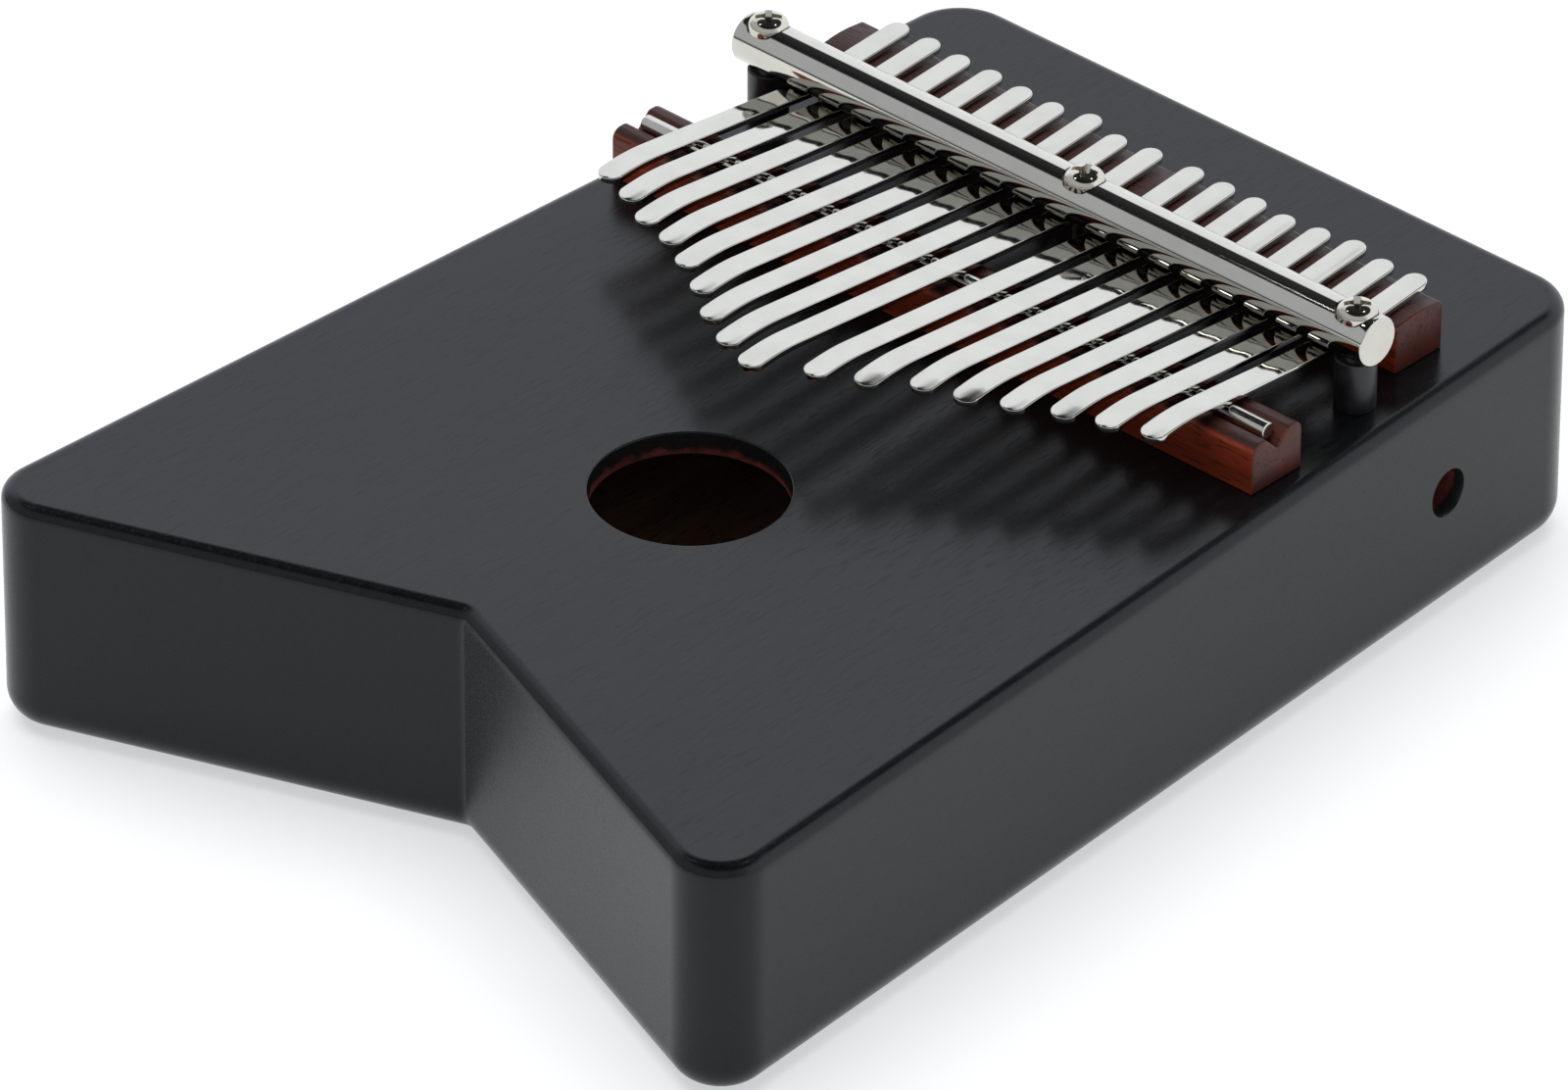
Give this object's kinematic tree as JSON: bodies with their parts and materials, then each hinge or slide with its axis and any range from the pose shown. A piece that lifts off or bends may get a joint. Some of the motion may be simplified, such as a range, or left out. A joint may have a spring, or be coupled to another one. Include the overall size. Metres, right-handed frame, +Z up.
{
  "type": "mbira",
  "caption": "Box kalimba: flat steel tines clamped over a wooden bridge on a hollow, black-lacquered wooden case with an arrow-shaped cut at the player's end.",
  "frame": {"origin": "middle of the object's footprint, on the surface it lies on (the back's plane)", "axes": "+Z up, out of the soundboard; +Y from the player's end, with the arrow-shaped cut, to the far end; +X to the player's right"},
  "size_m": [0.1298, 0.1751, 0.0503],
  "materials": {
    "black_lacquer": "satin black lacquer over fine-grained wood",
    "bare_wood": "unfinished red-brown wood",
    "red_wood": "oiled deep red-brown hardwood with open pores",
    "nickel_rod": "bright nickel plate",
    "nickel_bar": "mirror nickel plate",
    "black_post": "gloss black",
    "screw_steel": "nickel-plated steel",
    "tine_steel": "mirror-polished nickel-plated spring steel"
  },
  "bodies": {
    "case": {"soundboard": "black_lacquer", "body_rim": "black_lacquer", "back_plate": "black_lacquer", "screw_brace": "bare_wood", "front_bridge": "red_wood", "bridge_rod": "nickel_rod", "rear_bridge": "red_wood", "pressure_bar": "nickel_bar", "left_post": "black_post", "right_post": "black_post", "left_screw": "screw_steel", "middle_screw": "screw_steel", "right_screw": "screw_steel"},
    "tine_01_root": {"tine_01_root": "tine_steel"},
    "tine_01_tongue": {"tine_01_tongue": "tine_steel"},
    "tine_02_root": {"tine_02_root": "tine_steel"},
    "tine_02_tongue": {"tine_02_tongue": "tine_steel"},
    "tine_03_root": {"tine_03_root": "tine_steel"},
    "tine_03_tongue": {"tine_03_tongue": "tine_steel"},
    "tine_04_root": {"tine_04_root": "tine_steel"},
    "tine_04_tongue": {"tine_04_tongue": "tine_steel"},
    "tine_05_root": {"tine_05_root": "tine_steel"},
    "tine_05_tongue": {"tine_05_tongue": "tine_steel"},
    "tine_06_root": {"tine_06_root": "tine_steel"},
    "tine_06_tongue": {"tine_06_tongue": "tine_steel"},
    "tine_07_root": {"tine_07_root": "tine_steel"},
    "tine_07_tongue": {"tine_07_tongue": "tine_steel"},
    "tine_08_root": {"tine_08_root": "tine_steel"},
    "tine_08_tongue": {"tine_08_tongue": "tine_steel"},
    "tine_09_root": {"tine_09_root": "tine_steel"},
    "tine_09_tongue": {"tine_09_tongue": "tine_steel"},
    "tine_10_root": {"tine_10_root": "tine_steel"},
    "tine_10_tongue": {"tine_10_tongue": "tine_steel"},
    "tine_11_root": {"tine_11_root": "tine_steel"},
    "tine_11_tongue": {"tine_11_tongue": "tine_steel"},
    "tine_12_root": {"tine_12_root": "tine_steel"},
    "tine_12_tongue": {"tine_12_tongue": "tine_steel"},
    "tine_13_root": {"tine_13_root": "tine_steel"},
    "tine_13_tongue": {"tine_13_tongue": "tine_steel"},
    "tine_14_root": {"tine_14_root": "tine_steel"},
    "tine_14_tongue": {"tine_14_tongue": "tine_steel"},
    "tine_15_root": {"tine_15_root": "tine_steel"},
    "tine_15_tongue": {"tine_15_tongue": "tine_steel"},
    "tine_16_root": {"tine_16_root": "tine_steel"},
    "tine_16_tongue": {"tine_16_tongue": "tine_steel"},
    "tine_17_root": {"tine_17_root": "tine_steel"},
    "tine_17_tongue": {"tine_17_tongue": "tine_steel"}
  },
  "joints": [
    {"name": "tine_01_tuning", "type": "slide", "parent": "case", "child": "tine_01_root", "axis": [0.0504, 0.9987, 0], "range_m": [-0.001, 0.001]},
    {"name": "tine_01_pluck", "type": "hinge", "parent": "tine_01_root", "child": "tine_01_tongue", "pos_m": [-0.04666, 0.02615, 0.04349], "axis": [0.9987, -0.0504, 0], "range_deg": [-2, 4], "stiffness_Nm_per_rad": 3.336},
    {"name": "tine_02_tuning", "type": "slide", "parent": "case", "child": "tine_02_root", "axis": [0.0469, 0.9989, 0], "range_m": [-0.001, 0.001]},
    {"name": "tine_02_pluck", "type": "hinge", "parent": "tine_02_root", "child": "tine_02_tongue", "pos_m": [-0.04086, 0.02615, 0.04349], "axis": [0.9989, -0.0469, 0], "range_deg": [-2, 4], "stiffness_Nm_per_rad": 3.132},
    {"name": "tine_03_tuning", "type": "slide", "parent": "case", "child": "tine_03_root", "axis": [0.0434, 0.9991, 0], "range_m": [-0.001, 0.001]},
    {"name": "tine_03_pluck", "type": "hinge", "parent": "tine_03_root", "child": "tine_03_tongue", "pos_m": [-0.03506, 0.02615, 0.04349], "axis": [0.9991, -0.0434, 0], "range_deg": [-2, 4], "stiffness_Nm_per_rad": 2.871},
    {"name": "tine_04_tuning", "type": "slide", "parent": "case", "child": "tine_04_root", "axis": [0.04, 0.9992, 0], "range_m": [-0.001, 0.001]},
    {"name": "tine_04_pluck", "type": "hinge", "parent": "tine_04_root", "child": "tine_04_tongue", "pos_m": [-0.02926, 0.02615, 0.04349], "axis": [0.9992, -0.04, 0], "range_deg": [-2, 4], "stiffness_Nm_per_rad": 2.75},
    {"name": "tine_05_tuning", "type": "slide", "parent": "case", "child": "tine_05_root", "axis": [0.0365, 0.9993, 0], "range_m": [-0.001, 0.001]},
    {"name": "tine_05_pluck", "type": "hinge", "parent": "tine_05_root", "child": "tine_05_tongue", "pos_m": [-0.02346, 0.02615, 0.04349], "axis": [0.9993, -0.0365, 0], "range_deg": [-2, 4], "stiffness_Nm_per_rad": 2.544},
    {"name": "tine_06_tuning", "type": "slide", "parent": "case", "child": "tine_06_root", "axis": [0.033, 0.9995, 0], "range_m": [-0.001, 0.001]},
    {"name": "tine_06_pluck", "type": "hinge", "parent": "tine_06_root", "child": "tine_06_tongue", "pos_m": [-0.01766, 0.02615, 0.04349], "axis": [0.9995, -0.033, 0], "range_deg": [-2, 4], "stiffness_Nm_per_rad": 2.356},
    {"name": "tine_07_tuning", "type": "slide", "parent": "case", "child": "tine_07_root", "axis": [0.0295, 0.9996, 0], "range_m": [-0.001, 0.001]},
    {"name": "tine_07_pluck", "type": "hinge", "parent": "tine_07_root", "child": "tine_07_tongue", "pos_m": [-0.01185, 0.02615, 0.04349], "axis": [0.9996, -0.0295, 0], "range_deg": [-2, 4], "stiffness_Nm_per_rad": 2.151},
    {"name": "tine_08_tuning", "type": "slide", "parent": "case", "child": "tine_08_root", "axis": [0.026, 0.9997, 0], "range_m": [-0.001, 0.001]},
    {"name": "tine_08_pluck", "type": "hinge", "parent": "tine_08_root", "child": "tine_08_tongue", "pos_m": [-0.00605, 0.02615, 0.04349], "axis": [0.9997, -0.026, 0], "range_deg": [-2, 4], "stiffness_Nm_per_rad": 2.021},
    {"name": "tine_09_tuning", "type": "slide", "parent": "case", "child": "tine_09_root", "axis": [0.0225, 0.9997, 0], "range_m": [-0.001, 0.001]},
    {"name": "tine_09_pluck", "type": "hinge", "parent": "tine_09_root", "child": "tine_09_tongue", "pos_m": [-0.00025, 0.02615, 0.04349], "axis": [0.9997, -0.0225, 0], "range_deg": [-2, 4], "stiffness_Nm_per_rad": 1.939},
    {"name": "tine_10_tuning", "type": "slide", "parent": "case", "child": "tine_10_root", "axis": [0.0201, 0.9998, 0], "range_m": [-0.001, 0.001]},
    {"name": "tine_10_pluck", "type": "hinge", "parent": "tine_10_root", "child": "tine_10_tongue", "pos_m": [0.00689, 0.02615, 0.04349], "axis": [0.9998, -0.0201, 0], "range_deg": [-2, 4], "stiffness_Nm_per_rad": 2.109},
    {"name": "tine_11_tuning", "type": "slide", "parent": "case", "child": "tine_11_root", "axis": [0.0187, 0.9998, 0], "range_m": [-0.001, 0.001]},
    {"name": "tine_11_pluck", "type": "hinge", "parent": "tine_11_root", "child": "tine_11_tongue", "pos_m": [0.0124, 0.02615, 0.04349], "axis": [0.9998, -0.0187, 0], "range_deg": [-2, 4], "stiffness_Nm_per_rad": 2.265},
    {"name": "tine_12_tuning", "type": "slide", "parent": "case", "child": "tine_12_root", "axis": [0.0173, 0.9999, 0], "range_m": [-0.001, 0.001]},
    {"name": "tine_12_pluck", "type": "hinge", "parent": "tine_12_root", "child": "tine_12_tongue", "pos_m": [0.01791, 0.02615, 0.04349], "axis": [0.9999, -0.0173, 0], "range_deg": [-2, 4], "stiffness_Nm_per_rad": 2.5},
    {"name": "tine_13_tuning", "type": "slide", "parent": "case", "child": "tine_13_root", "axis": [0.0159, 0.9999, 0], "range_m": [-0.001, 0.001]},
    {"name": "tine_13_pluck", "type": "hinge", "parent": "tine_13_root", "child": "tine_13_tongue", "pos_m": [0.02341, 0.02615, 0.04349], "axis": [0.9999, -0.0159, 0], "range_deg": [-2, 4], "stiffness_Nm_per_rad": 2.629},
    {"name": "tine_14_tuning", "type": "slide", "parent": "case", "child": "tine_14_root", "axis": [0.0145, 0.9999, 0], "range_m": [-0.001, 0.001]},
    {"name": "tine_14_pluck", "type": "hinge", "parent": "tine_14_root", "child": "tine_14_tongue", "pos_m": [0.02892, 0.02615, 0.04349], "axis": [0.9999, -0.0145, 0], "range_deg": [-2, 4], "stiffness_Nm_per_rad": 2.817},
    {"name": "tine_15_tuning", "type": "slide", "parent": "case", "child": "tine_15_root", "axis": [0.0131, 0.9999, 0], "range_m": [-0.001, 0.001]},
    {"name": "tine_15_pluck", "type": "hinge", "parent": "tine_15_root", "child": "tine_15_tongue", "pos_m": [0.03443, 0.02615, 0.04349], "axis": [0.9999, -0.0131, 0], "range_deg": [-2, 4], "stiffness_Nm_per_rad": 3.099},
    {"name": "tine_16_tuning", "type": "slide", "parent": "case", "child": "tine_16_root", "axis": [0.0117, 0.9999, 0], "range_m": [-0.001, 0.001]},
    {"name": "tine_16_pluck", "type": "hinge", "parent": "tine_16_root", "child": "tine_16_tongue", "pos_m": [0.03994, 0.02615, 0.04349], "axis": [0.9999, -0.0117, 0], "range_deg": [-2, 4], "stiffness_Nm_per_rad": 3.318},
    {"name": "tine_17_tuning", "type": "slide", "parent": "case", "child": "tine_17_root", "axis": [0.0103, 0.9999, 0], "range_m": [-0.001, 0.001]},
    {"name": "tine_17_pluck", "type": "hinge", "parent": "tine_17_root", "child": "tine_17_tongue", "pos_m": [0.04545, 0.02615, 0.04349], "axis": [0.9999, -0.0103, 0], "range_deg": [-2, 4], "stiffness_Nm_per_rad": 3.599}
  ]
}
